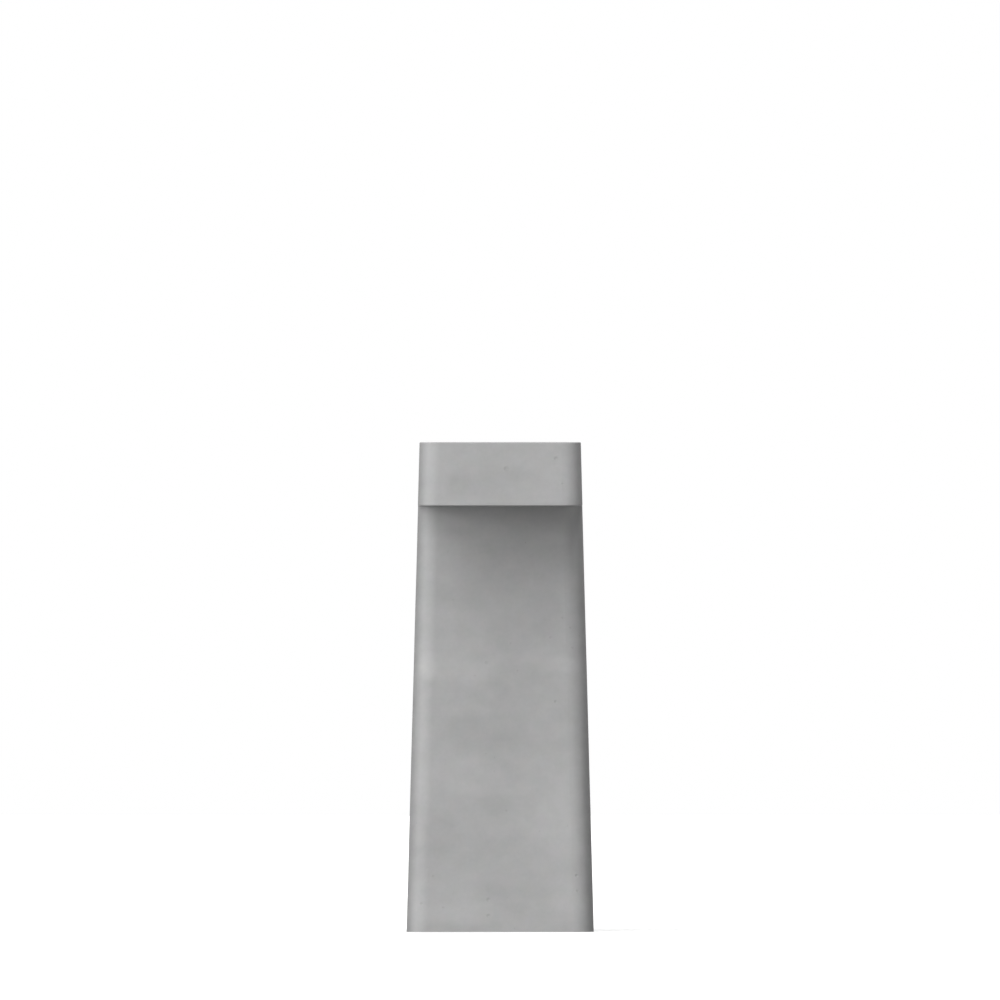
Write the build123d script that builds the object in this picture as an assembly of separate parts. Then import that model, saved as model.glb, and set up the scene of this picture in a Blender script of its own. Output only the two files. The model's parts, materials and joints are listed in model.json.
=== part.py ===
from build123d import *
import os

# A cast concrete bollard: a post that tapers upwards on all four sides to a square head.
# Below the head the front of the shaft is set back, parallel to the head's own front, so
# the head stands out over it like a visor. The sides and the back run through flush.
# Frame: origin on the ground under the middle of the whole outline, +Z up, the front on
# the -Y side. Millimetres.

# Driving dimensions
HEIGHT = 800.0  # base to top
BASE_WIDTH = 306.0  # the base, side to side
TOP_WIDTH = 263.0  # the square top, side to side
HEAD_HEIGHT = 104.0  # top down to the underside of the head
SETBACK = 130.0  # how far the shaft's front stands behind the head's front
CORNER_RADIUS = 33.0  # the rounded upright corners
ARRIS_RADIUS = 2.0  # the eased edge round the top and under the nose of the head
SOCKET_DIAMETER = 40.0  # the cored socket in the underside that takes a fixing dowel
SOCKET_DEPTH = 200.0


def half_width(height):
    """Half the width of the tapered post at a height above the base."""
    return (BASE_WIDTH + (TOP_WIDTH - BASE_WIDTH) * height / HEIGHT) / 2


# Places that follow from them, across the post from the axis of its taper
UNDERSIDE = HEIGHT - HEAD_HEIGHT  # height of the head's underside
NOSE = -half_width(UNDERSIDE)  # the head's lower front edge
NECK = NOSE + SETBACK  # where the shaft's front meets the underside
FOOT = -half_width(0) + SETBACK  # where the shaft's front meets the ground
HEEL = half_width(0)  # where the back meets the ground
OUTLINE_MIDDLE = (NOSE + HEEL) / 2  # half way from the nose to the heel
SHAFT_MIDDLE = (FOOT + HEEL) / 2  # half way through the shaft at the ground


def tapered_post():
    """The post with square corners: the front outline and the side outline, each run
    through the whole post, and what they have in common kept."""
    top_corners = [(half_width(HEIGHT), HEIGHT), (-half_width(HEIGHT), HEIGHT)]
    setback_corners = [(NOSE, UNDERSIDE), (NECK, UNDERSIDE), (FOOT, 0)]
    front_outline = Polygon((-half_width(0), 0), (half_width(0), 0), *top_corners, align=None)
    side_outline = Polygon((HEEL, 0), *top_corners, *setback_corners, align=None)
    seen_from_the_front = extrude(Plane.XZ * front_outline, BASE_WIDTH / 2, both=True)
    seen_from_the_side = extrude(Plane.YZ * side_outline, BASE_WIDTH / 2, both=True)
    return seen_from_the_front & seen_from_the_side


def with_round_corners(post):
    """Rounds every upright corner: both back ones, and the front ones of head and shaft."""
    level_edges = post.edges().filter_by(Axis.X) + post.edges().filter_by(Axis.Y)
    return fillet(post.edges() - level_edges, CORNER_RADIUS)


def with_eased_nose(post):
    """Takes the sharp arris off the head's lower edge, where it stands out over the shaft."""
    underside = post.faces().filter_by(Axis.Z).sort_by(Axis.Z)[1]
    overhanging = underside.edges().filter_by(lambda edge: edge.center().Y < NECK - ARRIS_RADIUS)
    return fillet(overhanging, ARRIS_RADIUS)


def with_eased_top(post):
    """Takes the sharp arris off the edge round the top."""
    return fillet(post.faces().sort_by(Axis.Z)[-1].edges(), ARRIS_RADIUS)


def with_dowel_socket(post):
    """Cores the blind socket for the fixing dowel, upwards from the middle of the shaft's base."""
    from_the_base = (Align.CENTER, Align.CENTER, Align.MIN)
    socket = Cylinder(SOCKET_DIAMETER / 2, SOCKET_DEPTH, align=from_the_base)
    return post - Pos(0, SHAFT_MIDDLE, 0) * socket


bollard = tapered_post()
bollard = with_round_corners(bollard)
bollard = with_eased_nose(bollard)
bollard = with_eased_top(bollard)
bollard = with_dowel_socket(bollard)
bollard = Pos(0, -OUTLINE_MIDDLE, 0) * bollard

os.makedirs("parts", exist_ok=True)
export_step(bollard, "parts/concrete_bollard.step")
print(f"concrete_bollard: {bollard.volume:.0f} cubic millimetres, {bollard.bounding_box()}")
print(f"dowel socket {SHAFT_MIDDLE - OUTLINE_MIDDLE:.3f} mm behind the origin")
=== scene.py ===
# %% [markdown]
# # A cast concrete bollard
#
# This lesson dresses one heavy, simple thing: a street bollard, cast in concrete in one mould.
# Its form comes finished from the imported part, so nothing here moves or resizes it. What is
# added is what a casting has and a drawing lacks: the small holes that air leaves against the
# mould, edges that have lost a few crumbs, and the cloudy grey of cured cement.

import json
import math

import bmesh
import bpy
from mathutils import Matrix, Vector
from mathutils.bvhtree import BVHTree


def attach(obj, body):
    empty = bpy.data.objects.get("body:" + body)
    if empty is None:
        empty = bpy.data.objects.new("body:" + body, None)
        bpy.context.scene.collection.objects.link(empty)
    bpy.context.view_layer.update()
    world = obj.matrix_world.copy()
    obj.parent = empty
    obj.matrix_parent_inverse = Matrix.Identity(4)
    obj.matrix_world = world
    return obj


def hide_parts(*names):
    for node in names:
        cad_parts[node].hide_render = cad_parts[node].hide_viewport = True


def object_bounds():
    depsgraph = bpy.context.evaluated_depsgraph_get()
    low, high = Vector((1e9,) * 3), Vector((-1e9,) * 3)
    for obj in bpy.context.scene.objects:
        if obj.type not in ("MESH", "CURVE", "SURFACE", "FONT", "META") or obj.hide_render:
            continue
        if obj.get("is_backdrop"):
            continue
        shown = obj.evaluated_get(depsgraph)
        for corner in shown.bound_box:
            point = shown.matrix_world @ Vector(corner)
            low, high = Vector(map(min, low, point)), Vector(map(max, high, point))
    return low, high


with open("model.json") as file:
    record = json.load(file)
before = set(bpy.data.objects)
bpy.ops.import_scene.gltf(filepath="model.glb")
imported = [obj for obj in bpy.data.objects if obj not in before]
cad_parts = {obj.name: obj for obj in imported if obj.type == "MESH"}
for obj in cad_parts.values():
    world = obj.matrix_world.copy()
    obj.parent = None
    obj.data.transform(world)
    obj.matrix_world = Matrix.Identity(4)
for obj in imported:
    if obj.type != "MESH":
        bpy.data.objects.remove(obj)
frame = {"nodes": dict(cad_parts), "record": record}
cad_low, cad_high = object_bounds()
bollard_height = cad_high.z - cad_low.z
MILLIMETRE = 0.001
print("bollard", [round(side, 3) for side in cad_high - cad_low], "m, nodes:", sorted(frame["nodes"]))

# %% [markdown]
# ## The camera
#
# The photograph looks straight at the front from far away: upright edges lean only as the
# bollard itself tapers, and neither its top nor its base shows any curve of perspective.
# An orthographic camera could give that, but it keeps its scale when it is moved to other
# views. A very long lens a long way off looks the same here and frames the other views well.

# %% Set up a far camera with a long lens
PHOTO_SIDE = 1000  # the photograph is square, in pixels
PHOTO_TOP_ROW = 441.7  # the row where the bollard's top meets the background
PHOTO_BASE_ROW = 931.3  # the row where its base ends
PHOTO_AXIS_COLUMN = 499.7  # the column of its middle
LENS_LENGTH = 1200  # millimetres
SENSOR_WIDTH = 36  # millimetres
photo_middle = (PHOTO_SIDE - 1) / 2

camera_data = bpy.data.cameras.new("long_lens")
camera_data.lens = LENS_LENGTH
camera_data.sensor_width = SENSOR_WIDTH
metres_per_pixel = bollard_height / (PHOTO_BASE_ROW - PHOTO_TOP_ROW)
camera_distance = PHOTO_SIDE * metres_per_pixel * LENS_LENGTH / SENSOR_WIDTH
camera_data.clip_end = 4 * camera_distance  # well past the bollard

camera = bpy.data.objects.new("camera", camera_data)
bpy.context.scene.collection.objects.link(camera)
camera.location = (
    (photo_middle - PHOTO_AXIS_COLUMN) * metres_per_pixel,
    -camera_distance,
    (PHOTO_BASE_ROW - photo_middle) * metres_per_pixel,
)
camera.rotation_euler = (math.radians(90), 0, 0)
bpy.context.scene.camera = camera
print(f"camera {camera_distance:.1f} m away, {metres_per_pixel / MILLIMETRE:.3f} mm to a pixel")

# %% [markdown]
# ## Two small helpers
#
# Colours are picked as sRGB hex codes, the way a paint chart or a picture gives them, and
# Blender's sockets want linear light, so one function converts. Material and geometry trees
# are both made of nodes, so one function adds a node, sets it up and links its inputs.


# %% Define the helpers
def linear_colour(hex_code):
    """An sRGB hex code as the linear RGBA that a colour socket takes."""
    channels = [int(hex_code[start : start + 2], 16) / 255 for start in (1, 3, 5)]
    return (*(c / 12.92 if c <= 0.04045 else ((c + 0.055) / 1.055) ** 2.4 for c in channels), 1.0)


def add_node(tree, kind, inputs=None, **options):
    """Adds a node, sets its options, and links or fills its inputs, by name or by number.
    An input that takes several links gets a list of them."""
    added = tree.nodes.new(kind)
    for option, value in options.items():
        setattr(added, option, value)
    for socket, value in (inputs or {}).items():
        for source in value if isinstance(value, list) else [value]:
            if isinstance(source, bpy.types.NodeSocket):
                tree.links.new(source, added.inputs[socket])
            else:
                added.inputs[socket].default_value = source
    return added


print("a mid grey, #808080, is", [round(c, 3) for c in linear_colour("#808080")], "in linear light")


# %% [markdown]
# ## The casting
#
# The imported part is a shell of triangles, many of them long. Small holes cut into such faces
# would leave splinters, so a copy of it is first welded, freed of the lines that cross its flat
# faces, and cut into an even net. The net also lets the faces swell and sink by a fraction of
# a millimetre, as a mould's panels do under wet concrete. Shading worked out from the net
# itself would show faint stripes on the round corners, so each corner of a face remembers
# which way the part's own surface faces there. The part itself stays as it is.

# %% Cut a copy of the part into an even net
NET_SPACING = 12 * MILLIMETRE
WELD = 0.001 * MILLIMETRE
NEAR_CUT = 0.05 * MILLIMETRE  # a corner this near to a cut is cut through, which spares slivers
FLAT_ANGLE = math.radians(0.05)  # faces that meet at less than this are one flat face

part = frame["nodes"]["concrete_bollard"]
net = bmesh.new()
net.from_mesh(part.data)
true_normal = net.loops.layers.float_vector.new("true_normal")  # which way the part's surface faces
face_corners = [corner for face in net.faces for corner in face.loops]
for corner, normal in zip(face_corners, part.data.corner_normals):
    corner[true_normal] = normal.vector
bmesh.ops.remove_doubles(net, verts=net.verts, dist=WELD)
bmesh.ops.dissolve_limit(net, angle_limit=FLAT_ANGLE, verts=net.verts, edges=net.edges)
for axis in range(3):
    cut_facing = Vector(float(axis == other) for other in range(3))
    for step in range(1, math.ceil((cad_high[axis] - cad_low[axis]) / NET_SPACING)):
        cut_at = cut_facing * (cad_low[axis] + step * NET_SPACING)
        everything = net.verts[:] + net.edges[:] + net.faces[:]
        bmesh.ops.bisect_plane(net, geom=everything, dist=NEAR_CUT, plane_co=cut_at, plane_no=cut_facing)
print("net of", len(net.faces), "faces, closed:", all(edge.is_manifold for edge in net.edges))

# %% Mark what shows, and the eased edges
SLACK = 1  # millimetres by which a face may lie off the base or the socket and still count
FACES_DOWN = -0.9  # the upward part of a facing: 1 is straight up, -1 straight down
EASED_FACING = (0.2, 0.95)  # the same for eased edges, up or down: between upright and level faces
base_level = cad_low.z + SLACK * MILLIMETRE
dowel_socket = next(mount for mount in frame["record"]["mounts"] if mount["name"] == "dowel_socket")
socket_reach = (dowel_socket["dims"]["r_mm"] + SLACK) * MILLIMETRE
socket_middle = Vector(dowel_socket["pos_m"])
socket_end = 2 * socket_middle.z + WELD  # it starts at the base, so it ends at twice its middle

shows = net.faces.layers.float.new("shows")  # 1 on faces that are seen, 0 on base and socket
eased = net.faces.layers.float.new("eased")  # 1 on the narrow rounding of the edges
for face in net.faces:
    middle = face.calc_center_median()
    in_socket = (middle - socket_middle).xy.length < socket_reach and middle.z < socket_end
    on_base = middle.z < base_level and face.normal.z < FACES_DOWN
    is_eased = EASED_FACING[0] < abs(face.normal.z) < EASED_FACING[1]
    face[shows] = 0.0 if in_socket or on_base else 1.0
    face[eased] = 1.0 if face[shows] and is_eased else 0.0
shown_area = sum(face.calc_area() for face in net.faces if face[shows])
eased_area = sum(face.calc_area() for face in net.faces if face[eased])
print(f"{shown_area:.2f} square metres show, {eased_area * 1e4:.0f} square centimetres of it eased edges")

# %% [markdown]
# ## From the photograph to the casting
#
# A few marks in the photograph are large enough to have a place of their own: soft pale and dark
# patches, and a handful of holes. Their places are noted as column and row in the photograph. The
# camera is so far off that every line of sight runs straight back. Where the line through that
# place meets the casting, the mark belongs.


# %% Find the point on the front that a place in the photograph shows
IN_FRONT = -1  # metres: a line of sight starts there, clear of the bollard
STRAIGHT_BACK = Vector((0, 1, 0))
surface = BVHTree.FromBMesh(net)


def on_the_front(column, row):
    """The point of the casting seen at a column and row, and the way its surface faces there."""
    across = (column - PHOTO_AXIS_COLUMN) * metres_per_pixel
    height = (PHOTO_BASE_ROW - row) * metres_per_pixel
    point, facing, *_ = surface.ray_cast(Vector((across, IN_FRONT, height)), STRAIGHT_BACK)
    return point, facing


SPOT_ON_HEAD = (500, 473)  # column and row
SPOT_ON_SHAFT = (500, 720)
head_middle, _ = on_the_front(*SPOT_ON_HEAD)
shaft_middle, _ = on_the_front(*SPOT_ON_SHAFT)
setback = (shaft_middle.y - head_middle.y) / MILLIMETRE
print(f"the middle of the shaft lies {setback:.0f} mm behind the middle of the head")

# %% [markdown]
# ## Concrete from a smooth mould
#
# Fair-faced concrete shows the skin of cement paste that set against the mould: a matt, even
# grey with soft clouds where water gathered, drawn out sideways because it was poured in
# level layers. Sand and paste give a finer mottle, and there are faint warm and cool patches.
# A photographic texture would carry one place's dirt everywhere. Layers of noise, each at the
# size of one of those causes, stay true from every side and at every distance.

# %% Mix the layers of grey
CONCRETE_DARK = "#868686"  # the deepest grey, where water stayed longest
CONCRETE_LIGHT = "#C9C9C9"  # the palest, dry paste

# Each layer: how long and how high its patches are in millimetres, its detail and its share
CLOUDS = (170, 100, 2.0, 0.25)
POUR_LAYERS = (420, 48, 1.0, 0.12)
MOTTLE = (30, 24, 2.0, 0.19)
SAND = (6, 6, 2.0, 0.08)  # real sand is finer: it is drawn this coarse so that it shows
layers = (CLOUDS, POUR_LAYERS, MOTTLE, SAND)

concrete = bpy.data.materials.new("fair_faced_concrete")
concrete.use_nodes = True
concrete_tree = concrete.node_tree
skin = concrete_tree.nodes["Principled BSDF"]
place = add_node(concrete_tree, "ShaderNodeTexCoord").outputs["Object"]


def cement_noise(length, height, detail):
    """Noise from 0 to 1 whose patches are about so many millimetres long and high."""
    per_metre = tuple(1 / (size * MILLIMETRE) for size in (length, length, height))
    stretched = add_node(concrete_tree, "ShaderNodeMapping", {"Vector": place, "Scale": per_metre})
    inputs = {"Vector": stretched.outputs[0], "Scale": 1.0, "Detail": detail}
    return add_node(concrete_tree, "ShaderNodeTexNoise", inputs).outputs["Fac"]


lightness = 0.5 - sum(share for *_, share in layers) / 2  # so that the layers even out at a half
for length, height, detail, share in layers:
    inputs = {0: cement_noise(length, height, detail), 1: share, 2: lightness}
    lightness = add_node(concrete_tree, "ShaderNodeMath", inputs, operation="MULTIPLY_ADD").outputs[0]
print(len(layers), "layers of noise")

# %% [markdown]
# ## Patches, flanks and holes
#
# Some of the greys have a place of their own: a pale level band where one layer of the pour met
# the next, and dark patches where the paste stayed wet. Other patches are painted light and shade:
# paler on the head's right corner and at the left of the shadow under the head, darker where that
# shadow ends and on the lower corners. The flanks are darker than the front as painted shade, and
# the insides of the holes are darker too. Painting these by hand would need an unwrapped surface.
# Here each patch is a soft ball of paler or darker grey, set into the casting and frayed by noise.
# The flanks are found by the way they face, and the holes by a mark that their cutting leaves on them.

# %% Add the pale and dark patches of the photograph
# Column and row of the middle, width and height in pixels, noted in enlarged views
PALE_PATCHES_AND_PAINTED_LIGHT = {
    "level band": (457, 668, 84, 26),
    "end of the level band": (428, 662, 16, 30),
    "level band on the right": (568, 663, 36, 18),
    # painted light: paler at the left end of the shadow under the head
    "left of the shadow": (456, 560, 60, 40),
    "band below the middle": (454, 773, 70, 36),
    "foot on the left": (440, 902, 80, 56),
    "level band of the foot": (458, 913, 84, 22),
    "foot on the right": (567, 898, 36, 34),
    "right of the lower half": (556, 825, 56, 60),
    # painted light: the head's right corner paler, as more light would make it
    "right corner of the head": (574, 472, 24, 80),
}
DARK_PATCHES_AND_PAINTED_SHADE = {
    "middle": (504, 728, 40, 56),
    "left of the middle": (467, 728, 34, 32),
    "left of the lower half": (440, 832, 36, 36),
    "lower half": (495, 805, 32, 22),
    # painted shade: the next two darken the end of the shadow under the head, so that it reaches further
    # down
    "end of the shadow": (515, 632, 50, 40),
    "right end of the shadow": (557, 622, 40, 40),
    "right of the level band": (518, 678, 56, 34),
    "below the level band": (487, 694, 40, 24),
    "head": (494, 478, 60, 40),
    "left of the head": (458, 483, 20, 30),
    # painted shade: the next two darken the lower corners, as less light would
    "left corner of the lower half": (419, 850, 16, 100),
    "right corner of the lower half": (588, 840, 16, 250),
}
PALER = 0.085  # as a share of the way from the deepest grey to the palest
DARKER = -0.07
PATCH_DEPTH = 80 * MILLIMETRE  # so that a patch reaches round a corner but not to the back
FRAY = 20 * MILLIMETRE  # how far noise shifts the border of a patch
FRAY_NOISE = (40, 30, 2.0)  # length and height in millimetres, detail
SOFT = 0.25  # how far a patch fades on either side of its border, as a share of its size

shift = cement_noise(*FRAY_NOISE).node.outputs["Color"]
frayed = {0: shift, 1: (FRAY,) * 3, 2: place}
frayed_place = add_node(concrete_tree, "ShaderNodeVectorMath", frayed, operation="MULTIPLY_ADD").outputs[0]
patches = [(*place_and_size, PALER) for place_and_size in PALE_PATCHES_AND_PAINTED_LIGHT.values()]
patches += [(*place_and_size, DARKER) for place_and_size in DARK_PATCHES_AND_PAINTED_SHADE.values()]
for column, row, width, height, change in patches:
    middle, _ = on_the_front(column, row)
    middle += Vector((FRAY, FRAY, FRAY)) / 2  # the noise is a half on average
    reach = (width * metres_per_pixel, PATCH_DEPTH, height * metres_per_pixel)
    inputs = {"Vector": frayed_place, "Location": middle, "Scale": reach}
    within = add_node(concrete_tree, "ShaderNodeMapping", inputs, vector_type="TEXTURE").outputs[0]
    ball = add_node(concrete_tree, "ShaderNodeTexGradient", {0: within}, gradient_type="SPHERICAL")
    inputs = {"Value": ball.outputs["Fac"], "From Min": 0.5 - SOFT, "From Max": 0.5 + SOFT, "To Max": change}
    patch = add_node(concrete_tree, "ShaderNodeMapRange", inputs, interpolation_type="SMOOTHSTEP").outputs[0]
    lightness = add_node(concrete_tree, "ShaderNodeMath", {0: lightness, 1: patch}).outputs[0]
print(len(PALE_PATCHES_AND_PAINTED_LIGHT), "pale patches and", len(DARK_PATCHES_AND_PAINTED_SHADE), "dark ones")

# %% Paint shade on the flanks
PAINTED_FLANK_SHADE = -0.33  # painted shade: the flanks over a quarter darker than the front, as if less light fell on them
FLANK_STARTS = 0.5  # the sideways part of the surface's facing at which the change sets in

skin_facing = add_node(concrete_tree, "ShaderNodeTexCoord").outputs["Normal"]
sideways = add_node(concrete_tree, "ShaderNodeSeparateXYZ", {0: skin_facing}).outputs["X"]
sideways = add_node(concrete_tree, "ShaderNodeMath", {0: sideways}, operation="ABSOLUTE").outputs[0]
inputs = {"Value": sideways, "From Min": FLANK_STARTS, "To Max": PAINTED_FLANK_SHADE}
painted_flank_shade = add_node(concrete_tree, "ShaderNodeMapRange", inputs, interpolation_type="SMOOTHSTEP").outputs[0]
lightness = add_node(concrete_tree, "ShaderNodeMath", {0: lightness, 1: painted_flank_shade}).outputs[0]
print("flanks lose", -PAINTED_FLANK_SHADE, "of the way from the deepest grey to the palest")

# %% darker inside the holes
HOLE_CHANGE = -0.07  # a little dirt

in_hole = add_node(concrete_tree, "ShaderNodeAttribute", attribute_name="in_hole").outputs["Fac"]
inputs = {0: in_hole, 1: HOLE_CHANGE, 2: lightness}
lightness = add_node(concrete_tree, "ShaderNodeMath", inputs, operation="MULTIPLY_ADD").outputs[0]
# A Mix node takes its two colours at inputs 6 and 7, and gives the mixed one at output 2
greys = {0: lightness, 6: linear_colour(CONCRETE_DARK), 7: linear_colour(CONCRETE_LIGHT)}
grey = add_node(concrete_tree, "ShaderNodeMix", greys, data_type="RGBA").outputs[2]
print("greys from", CONCRETE_DARK, "to", CONCRETE_LIGHT)

# %% Tint it, and give the skin its roughness and fine relief
TINT_PATCH = (24, 24, 2.0)  # length and height in millimetres, detail
TINT_SHARE = 0.02  # how much of its colour a patch takes on
GRAIN = (3.5, 3.5, 3.0)  # the same for the relief, drawn coarser than real to show
GRAIN_HEIGHT = 0.010 * MILLIMETRE
SKIN_ROUGHNESS = (0.80, 0.94)  # from closed, smooth paste to open, dusty paste

tinting = {0: TINT_SHARE, 6: grey, 7: cement_noise(*TINT_PATCH).node.outputs["Color"]}
tinted = add_node(concrete_tree, "ShaderNodeMix", tinting, data_type="RGBA", blend_type="OVERLAY")
dullness = {"Value": cement_noise(*MOTTLE[:3]), "To Min": SKIN_ROUGHNESS[0], "To Max": SKIN_ROUGHNESS[1]}
roughness = add_node(concrete_tree, "ShaderNodeMapRange", dullness)
relief = {"Height": cement_noise(*GRAIN), "Distance": GRAIN_HEIGHT, "Strength": 1.0}
grain = add_node(concrete_tree, "ShaderNodeBump", relief)

concrete_tree.links.new(tinted.outputs[2], skin.inputs["Base Color"])
concrete_tree.links.new(roughness.outputs[0], skin.inputs["Roughness"])
concrete_tree.links.new(grain.outputs[0], skin.inputs["Normal"])
skin.inputs["IOR"].default_value = 1.5  # typical of stone and cement
skin.inputs["Specular IOR Level"].default_value = 0.25  # a porous skin mirrors half as much
print("concrete has", len(concrete_tree.nodes), "nodes")

# %% [markdown]
# ## Air holes and crumbled edges
#
# When concrete is shaken down in its mould, bubbles of air stay caught against the walls and
# leave shallow holes, from a pinhead to a few millimetres wide. The sharp edges lose a crumb
# here and there when the mould comes off. Dark dots in the colour would look right from one
# side only, so the holes are cut, and they catch the light as the real ones do. Geometry Nodes
# scatter the small ones. The few large ones sit where the photograph shows them.

# %% Find the places of the holes that the photograph shows
# Column and row in the photograph, and the hole's width and depth in millimetres
SEEN_HOLES = (
    (555.6, 458.5, 8.5, 0.45),
    (505.7, 468.3, 9.0, 0.4),
    (506, 810, 5.0, 0.6),
    (576, 875, 6.0, 0.8),
    (577, 890, 5.0, 0.6),
    (488, 899, 8.5, 0.8),
    (488, 915, 7.5, 0.7),
    (421, 903, 6.0, 0.8),
    (486, 662, 7.0, 0.5),
    (517, 670, 4.0, 0.5),
    (550, 637, 4.5, 0.5),
    (555, 701, 5.5, 0.5),
    (562, 617, 4.0, 0.5),
    (570, 627, 4.0, 0.5),
    (572, 647, 4.0, 0.5),
)
DISH_DEPTH = 0.25  # the depth of the dish that a bubble one unit wide and high leaves

spots = bmesh.new()
spot_size = spots.verts.layers.float_vector.new("bubble_size")
spot_facing = spots.verts.layers.float_vector.new("hole_facing")
for column, row, width, depth in SEEN_HOLES:
    point, facing = on_the_front(column, row)
    spot = spots.verts.new(point)
    spot[spot_size] = Vector((width, width, depth / DISH_DEPTH)) * MILLIMETRE
    spot[spot_facing] = facing
seen_holes = bpy.data.objects.new("seen_holes", bpy.data.meshes.new("seen_holes"))
spots.to_mesh(seen_holes.data)
spots.free()
bpy.context.scene.collection.objects.link(seen_holes)
print(len(seen_holes.data.vertices), "holes placed on the front")

# %% Start the tree that cuts them, with its named inputs
holes_tree = bpy.data.node_groups.new("air_holes", "GeometryNodeTree")
holes_tree.interface.new_socket("Casting", in_out="OUTPUT", socket_type="NodeSocketGeometry")
settings = {
    "Casting": ("NodeSocketGeometry", None),
    "Seen Holes": ("NodeSocketObject", seen_holes),
    "Swell": ("NodeSocketFloat", 0.5 * MILLIMETRE),
    "Swell Length": ("NodeSocketFloat", 160 * MILLIMETRE),
    "Smallest Hole": ("NodeSocketFloat", 1.0 * MILLIMETRE),
    "Largest Hole": ("NodeSocketFloat", 4.5 * MILLIMETRE),
    "Holes per Area": ("NodeSocketFloat", 210.0),  # to a square metre, before the spacing thins them
    "Smallest Crumb": ("NodeSocketFloat", 1.2 * MILLIMETRE),
    "Largest Crumb": ("NodeSocketFloat", 3.5 * MILLIMETRE),
    "Crumbs per Area": ("NodeSocketFloat", 6000.0),
    "Spacing": ("NodeSocketFloat", 12 * MILLIMETRE),
    "Flatness": ("NodeSocketFloat", 0.5),  # the height of a scattered bubble, as a share of its width
    "Seed": ("NodeSocketInt", 11),
    "Concrete": ("NodeSocketMaterial", concrete),
}
socket_names = {
    name: holes_tree.interface.new_socket(name, in_out="INPUT", socket_type=kind).identifier
    for name, (kind, _) in settings.items()
}
given = add_node(holes_tree, "NodeGroupInput").outputs
print("tree inputs:", ", ".join(settings))

# %% Shape one bubble, and let the faces swell
shows_here = add_node(
    holes_tree, "GeometryNodeInputNamedAttribute", {"Name": "shows"}, data_type="FLOAT"
).outputs[0]
eased_here = add_node(
    holes_tree, "GeometryNodeInputNamedAttribute", {"Name": "eased"}, data_type="FLOAT"
).outputs[0]

# A bubble stands so far out of the face that its dish is half a unit from the middle to the rim
bubble_radius = (0.5**2 + DISH_DEPTH**2) / (2 * DISH_DEPTH)
bubble_ball = {"Radius": bubble_radius, "Subdivisions": 2}
ball = add_node(holes_tree, "GeometryNodeMeshIcoSphere", bubble_ball)
lifted = {"Geometry": ball.outputs["Mesh"], "Translation": (0, 0, bubble_radius - DISH_DEPTH)}
bubble = add_node(holes_tree, "GeometryNodeTransform", lifted).outputs[0]
marked = {"Geometry": bubble, "Name": "in_hole", "Value": 1.0}
bubble = add_node(holes_tree, "GeometryNodeStoreNamedAttribute", marked, domain="FACE").outputs[0]

# The mould's panels bulge: each point moves along its normal by a slow noise
per_length = add_node(holes_tree, "ShaderNodeMath", {0: 1.0, 1: given["Swell Length"]}, operation="DIVIDE")
bulge = add_node(holes_tree, "ShaderNodeTexNoise", {"Scale": per_length.outputs[0], "Detail": 1.0})
outwards = add_node(holes_tree, "ShaderNodeMath", {0: bulge.outputs["Fac"], 1: 0.5}, operation="SUBTRACT")
swell = add_node(
    holes_tree, "ShaderNodeMath", {0: outwards.outputs[0], 1: given["Swell"]}, operation="MULTIPLY"
)
where_shown = add_node(
    holes_tree, "ShaderNodeMath", {0: swell.outputs[0], 1: shows_here}, operation="MULTIPLY"
)
normal_here = add_node(holes_tree, "GeometryNodeInputNormal").outputs[0]
move = add_node(
    holes_tree, "ShaderNodeVectorMath", {0: normal_here, "Scale": where_shown.outputs[0]}, operation="SCALE"
)
swollen = add_node(
    holes_tree, "GeometryNodeSetPosition", {"Geometry": given["Casting"], "Offset": move.outputs[0]}
).outputs[0]
print(f"a bubble of radius {bubble_radius:.3f} leaves a dish 1 wide and {DISH_DEPTH} deep")

# %% Define how bubbles are laid and scattered
RARITY = 3.0  # a random number from 0 to 1, raised to this power, is seldom large


def bubbles_on(points, rotation, size):
    """Bubbles of the given width, length and height, laid into the surface at the points."""
    inputs = {"Points": points, "Instance": bubble, "Rotation": rotation, "Scale": size}
    return add_node(holes_tree, "GeometryNodeInstanceOnPoints", inputs).outputs[0]


def scattered(where, per_area, smallest, largest):
    """Bubbles scattered at random, with many small ones for each large one."""
    scatter = add_node(
        holes_tree,
        "GeometryNodeDistributePointsOnFaces",
        {
            "Mesh": swollen,
            "Distance Min": given["Spacing"],
            "Density Max": per_area,
            "Density Factor": where,
            "Seed": given["Seed"],
        },
        distribute_method="POISSON",
    )
    chance = add_node(holes_tree, "FunctionNodeRandomValue", {"Seed": given["Seed"]}).outputs[1]
    rarely_large = add_node(
        holes_tree, "ShaderNodeMath", {0: chance, 1: RARITY}, operation="POWER"
    ).outputs[0]
    width = add_node(
        holes_tree, "ShaderNodeMapRange", {"Value": rarely_large, "To Min": smallest, "To Max": largest}
    ).outputs[0]
    height = add_node(
        holes_tree, "ShaderNodeMath", {0: width, 1: given["Flatness"]}, operation="MULTIPLY"
    ).outputs[0]
    size = add_node(holes_tree, "ShaderNodeCombineXYZ", {"X": width, "Y": width, "Z": height}).outputs[0]
    return bubbles_on(scatter.outputs["Points"], scatter.outputs["Rotation"], size)


print(f"half of the scattered holes are in the lowest {0.5**RARITY:.0%} of the range of widths")

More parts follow.
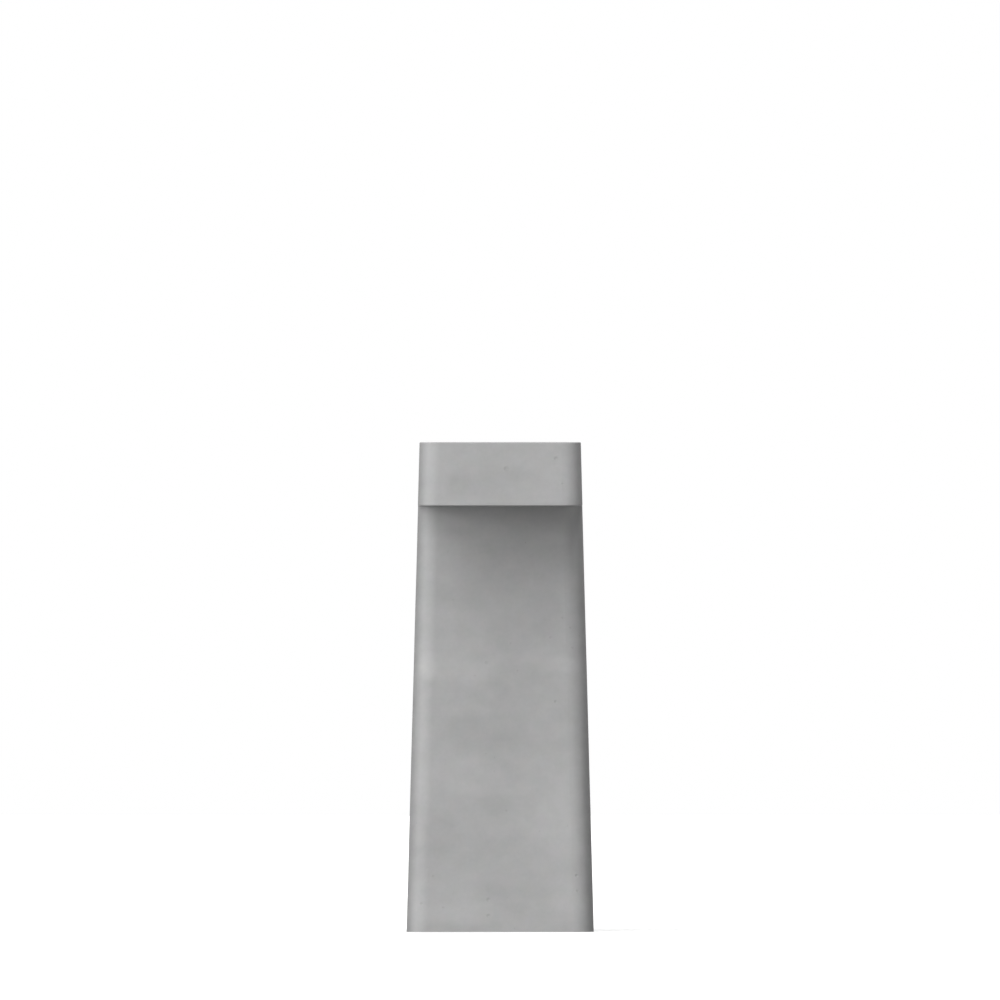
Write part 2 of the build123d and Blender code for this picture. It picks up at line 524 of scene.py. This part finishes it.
# %% Lay the bubbles and crumbs, and cut them out
seen_points = add_node(
    holes_tree, "GeometryNodeObjectInfo", {"Object": given["Seen Holes"]}
).outputs["Geometry"]
seen_size = add_node(
    holes_tree, "GeometryNodeInputNamedAttribute", {"Name": "bubble_size"}, data_type="FLOAT_VECTOR"
).outputs[0]
seen_facing = add_node(
    holes_tree, "GeometryNodeInputNamedAttribute", {"Name": "hole_facing"}, data_type="FLOAT_VECTOR"
).outputs[0]
seen_turn = add_node(holes_tree, "FunctionNodeAlignRotationToVector", {"Vector": seen_facing}, axis="Z")
cutters = add_node(
    holes_tree,
    "GeometryNodeJoinGeometry",
    {
        0: [
            scattered(shows_here, given["Holes per Area"], given["Smallest Hole"], given["Largest Hole"]),
            scattered(eased_here, given["Crumbs per Area"], given["Smallest Crumb"], given["Largest Crumb"]),
            bubbles_on(seen_points, seen_turn.outputs[0], seen_size),
        ]
    },
).outputs[0]
pitted = add_node(
    holes_tree,
    "GeometryNodeMeshBoolean",
    {"Mesh 1": swollen, "Mesh 2": cutters},
    operation="DIFFERENCE",
    solver="MANIFOLD",
).outputs[0]
whole = add_node(holes_tree, "GeometryNodeRealizeInstances", {0: pitted}).outputs[0]
cast_in = {"Geometry": whole, "Material": given["Concrete"]}
cast = add_node(holes_tree, "GeometryNodeSetMaterial", cast_in).outputs[0]
add_node(holes_tree, "NodeGroupOutput", {"Casting": cast})
print("tree has", len(holes_tree.nodes), "nodes")

# %% Bake the casting
draft = bpy.data.objects.new("casting_draft", bpy.data.meshes.new("casting_draft"))
net.to_mesh(draft.data)
net.free()
bpy.context.scene.collection.objects.link(draft)
cutting = draft.modifiers.new("air_holes", "NODES")
cutting.node_group = holes_tree
for name, (_, value) in settings.items():
    if value is not None:
        cutting[socket_names[name]] = value
evaluated = draft.evaluated_get(bpy.context.evaluated_depsgraph_get())
casting = bpy.data.objects.new("concrete_casting", bpy.data.meshes.new_from_object(evaluated))
bpy.context.scene.collection.objects.link(casting)
bpy.data.objects.remove(draft)
bpy.data.objects.remove(seen_holes)
triangles = sum(len(face.vertices) - 2 for face in casting.data.polygons)
print("casting has", triangles, "triangles")

# %% Shade it as the part is, and let it stand for the part
SHARP_ANGLE = math.radians(40)  # faces of a hole that meet at more than this keep a crisp edge

casting.data.shade_smooth()
casting.data.set_sharp_from_angle(angle=SHARP_ANGLE)
remembered = casting.data.attributes["true_normal"]
normals = [corner.vector.copy() for corner in remembered.data]
casting.data.normals_split_custom_set(normals)  # zero in the holes, which keep their own shading
casting.data.attributes.remove(casting.data.attributes["true_normal"])

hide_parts("concrete_bollard")
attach(casting, "root")
print(sum(normal.length > 0 for normal in normals), "of", len(normals), "corners shade as the part does")

# %% [markdown]
# ## Floor and light
#
# The photograph has a pure white ground and a soft light from the left, in front: the left
# corners are brighter than the front, the right ones fall away, and under the head lies one
# deep soft shadow. Lamps close by would light the head more than the base, so wide suns do it
# evenly: five, one above the other, make a tall softbox, a low one on each side reaches the
# corners under the head, and the rest fill in from above, in front and behind. The floor is white
# to look at, and grey to the light that bounces off it, because a white one would fill the shadow.

# %% Lay the floor and hang the white background
FLOOR_SIDE = 40  # metres
FLOOR_WHITE = "#FFFFFF"
FLOOR_BOUNCE = "#8E8E8E"
BACKGROUND_WHITE = "#FFFFFF"


def looked_at(tree):
    """1 for rays that come from the camera, straight or by way of a gloss or glass, else 0."""
    ray = add_node(tree, "ShaderNodeLightPath").outputs
    straight = add_node(
        tree, "ShaderNodeMath", {0: ray["Is Camera Ray"], 1: ray["Is Glossy Ray"]}, operation="MAXIMUM"
    ).outputs[0]
    return add_node(
        tree, "ShaderNodeMath", {0: straight, 1: ray["Is Transmission Ray"]}, operation="MAXIMUM"
    ).outputs[0]


floor_paint = bpy.data.materials.new("matt_white_floor")
floor_paint.use_nodes = True
floor_tree = floor_paint.node_tree
floor_colours = {0: looked_at(floor_tree), 6: linear_colour(FLOOR_BOUNCE), 7: linear_colour(FLOOR_WHITE)}
floor_colour = add_node(floor_tree, "ShaderNodeMix", floor_colours, data_type="RGBA")
floor_skin = floor_tree.nodes["Principled BSDF"]
floor_tree.links.new(floor_colour.outputs[2], floor_skin.inputs["Base Color"])
floor_skin.inputs["Roughness"].default_value = 1.0
floor_skin.inputs["Specular IOR Level"].default_value = 0.0

floor_mesh = bpy.data.meshes.new("floor")
half_side = FLOOR_SIDE / 2
floor_corners = [(x * half_side, y * half_side, 0) for x, y in ((-1, -1), (1, -1), (1, 1), (-1, 1))]
floor_mesh.from_pydata(floor_corners, [], [(0, 1, 2, 3)])
floor_mesh.materials.append(floor_paint)
floor = bpy.data.objects.new("floor", floor_mesh)
bpy.context.scene.collection.objects.link(floor)
floor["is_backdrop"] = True

world = bpy.data.worlds.new("white_studio")
bpy.context.scene.world = world
world.use_nodes = True
background = world.node_tree.nodes["Background"]
background.inputs["Color"].default_value = linear_colour(BACKGROUND_WHITE)
world.node_tree.links.new(looked_at(world.node_tree), background.inputs["Strength"])
print("floor", FLOOR_SIDE, "m square, looks", FLOOR_WHITE, "and bounces", FLOOR_BOUNCE)

# %% Set the soft suns
# Degrees to the left of the camera, degrees above the floor, and strength: at 1 a face square
# to the sun shows its own colour
SOFTBOX_LEFT = 40
SOFTBOX_ABOVE = (5, 20, 35, 50, 65)
SOFTBOX_STRENGTH = 0.16
SUN_WIDTH = math.radians(25)
suns = {f"softbox_at_{above}_degrees": (SOFTBOX_LEFT, above, SOFTBOX_STRENGTH) for above in SOFTBOX_ABOVE}
suns["low_from_the_left"] = (60, 5, 0.34)
suns["low_from_the_right"] = (-90, 5, 0.21)
suns["overhead"] = (-60, 80, 0.43)
suns["front"] = (0, 50, 0.21)
suns["from_behind"] = (180, 38, 0.50)
for name, (left, above, strength) in suns.items():
    sun = bpy.data.lights.new(name, "SUN")
    sun.angle = SUN_WIDTH
    sun.energy = math.pi * strength
    lamp = bpy.data.objects.new(name, sun)
    lamp.rotation_euler = (math.radians(90 - above), 0, math.radians(-left))
    bpy.context.scene.collection.objects.link(lamp)
bpy.context.scene.view_settings.view_transform = "Standard"
print(len(suns), "suns")

# %% [markdown]
# ## Sizes, and the end
#
# The last cell measures how far the dressed bollard reaches past the part's own box. The
# dressed bollard has to keep to the part's own box.

# %% Measure how far the bollard grew past the part's box
low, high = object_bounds()
growth = max(*(cad_low - low), *(high - cad_high))
print(f"the box grew by {growth / MILLIMETRE:.2f} mm at most")
